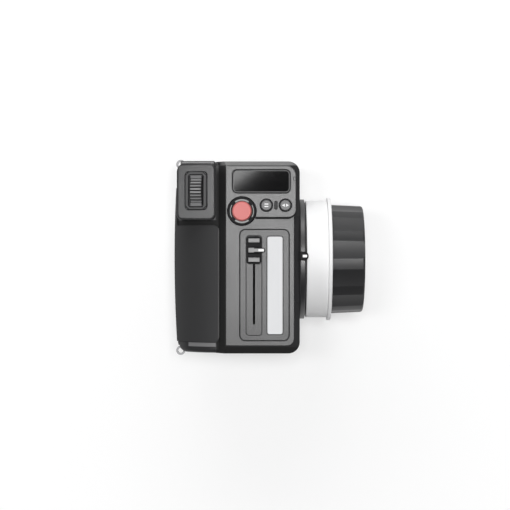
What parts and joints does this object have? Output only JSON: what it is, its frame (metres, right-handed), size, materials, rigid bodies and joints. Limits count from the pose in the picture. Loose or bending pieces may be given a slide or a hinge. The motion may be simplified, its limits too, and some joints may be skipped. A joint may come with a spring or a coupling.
{
  "type": "focus demand",
  "caption": "Hand-held wireless focus control: dark case with a rubber grip, thumb dial, display, fader and a fluted side knob with a white marking ring.",
  "frame": {"origin": "under the middle of the whole unit, on the surface that its battery lies on", "axes": "+X along the focus knob's axis, out of the knob; +Y towards the display end; +Z out of the panel"},
  "size_m": [0.1226, 0.1276, 0.0839],
  "materials": {
    "case_plastic": "fine moulded texture",
    "panel_plastic": "fine satin texture",
    "trim_plastic": "semi-gloss",
    "black_plastic": "plain moulded",
    "fader_plastic": "satin",
    "key_plastic": "satin",
    "red_plastic": "satin",
    "white_plastic": "writable satin",
    "light_guide": "frosted",
    "smoked_window": "smoked",
    "display_glass": "polished",
    "soft_rubber": "fine soft texture",
    "knob_rubber": "soft-touch",
    "battery_plastic": "fine moulded texture",
    "circuit_board": "solder mask",
    "bright_steel": "plated",
    "black_steel": "blackened",
    "contact_brass": "plated"
  },
  "bodies": {
    "case": {"front_shell": "case_plastic", "rear_cover": "case_plastic", "case_seal": "soft_rubber", "case_screws": "black_steel", "grip_pad": "soft_rubber", "strap_lugs": "bright_steel", "tripod_bush": "bright_steel", "dial_pod": "case_plastic", "dial_bezel": "trim_plastic", "dial_encoder": "black_plastic", "display_plate": "panel_plastic", "display_window": "display_glass", "display_panel": "black_plastic", "status_window": "smoked_window", "record_bezel": "trim_plastic", "record_light_ring": "light_guide", "tactile_switches": "black_plastic", "control_board": "circuit_board", "board_screws": "black_steel", "main_board": "circuit_board", "radio_module": "bright_steel", "usb_port": "bright_steel", "slider_plate": "panel_plastic", "marking_strip": "white_plastic", "fader_body": "black_steel", "knob_base": "case_plastic", "base_screws": "black_steel", "index_pointer": "trim_plastic", "stop_pin": "bright_steel", "drag_washer": "soft_rubber", "shaft_bearings": "bright_steel", "encoder_board": "circuit_board", "battery_plate": "black_plastic", "plate_screws": "black_steel", "battery_contacts": "contact_brass"},
    "knob": {"knob_shaft": "bright_steel", "retaining_clip": "black_steel", "encoder_magnet": "bright_steel", "knob_hub": "black_plastic", "ring_magnets": "bright_steel", "hub_screw": "black_steel", "focus_knob": "knob_rubber", "knob_screws": "black_steel", "knob_end_cap": "trim_plastic"},
    "ring": {"marking_ring": "white_plastic"},
    "fader": {"fader_lever": "bright_steel", "fader_cap": "fader_plastic", "fader_pointer": "trim_plastic"},
    "dial": {"thumb_dial": "fader_plastic", "dial_axle": "bright_steel"},
    "record_key": {"record_button": "red_plastic"},
    "menu_key": {"menu_button": "key_plastic"},
    "preset_key": {"preset_button": "key_plastic"},
    "power_key": {"power_button": "key_plastic"},
    "battery": {"battery_pack": "battery_plastic"}
  },
  "joints": [
    {"name": "focus_turn", "type": "hinge", "parent": "case", "child": "knob", "pos_m": [0, -0.0011, 0.0436], "axis": [1, 0, 0], "range_deg": [-150, 150]},
    {"name": "marking_ring_pull", "type": "slide", "parent": "knob", "child": "ring", "axis": [1, 0, 0], "range_m": [0, 0.04]},
    {"name": "fader_slide", "type": "slide", "parent": "case", "child": "fader", "axis": [0, -1, 0], "range_m": [0, 0.045]},
    {"name": "dial_turn", "type": "hinge", "parent": "case", "child": "dial", "pos_m": [-0.04488, 0.04275, 0.05456], "axis": [0.9903, 0, 0.1392], "continuous": true},
    {"name": "record_press", "type": "slide", "parent": "case", "child": "record_key", "axis": [0, 0, -1], "range_m": [0, 0.0008], "stiffness_N_per_m": 400},
    {"name": "menu_press", "type": "slide", "parent": "case", "child": "menu_key", "axis": [0, 0, -1], "range_m": [0, 0.0008], "stiffness_N_per_m": 400},
    {"name": "preset_press", "type": "slide", "parent": "case", "child": "preset_key", "axis": [0, 0, -1], "range_m": [0, 0.0008], "stiffness_N_per_m": 400},
    {"name": "power_press", "type": "slide", "parent": "case", "child": "power_key", "axis": [0, 1, 0], "range_m": [0, 0.0008], "stiffness_N_per_m": 400},
    {"name": "battery_slide", "type": "slide", "parent": "case", "child": "battery", "axis": [0, -1, 0], "range_m": [0, 0.012]}
  ]
}
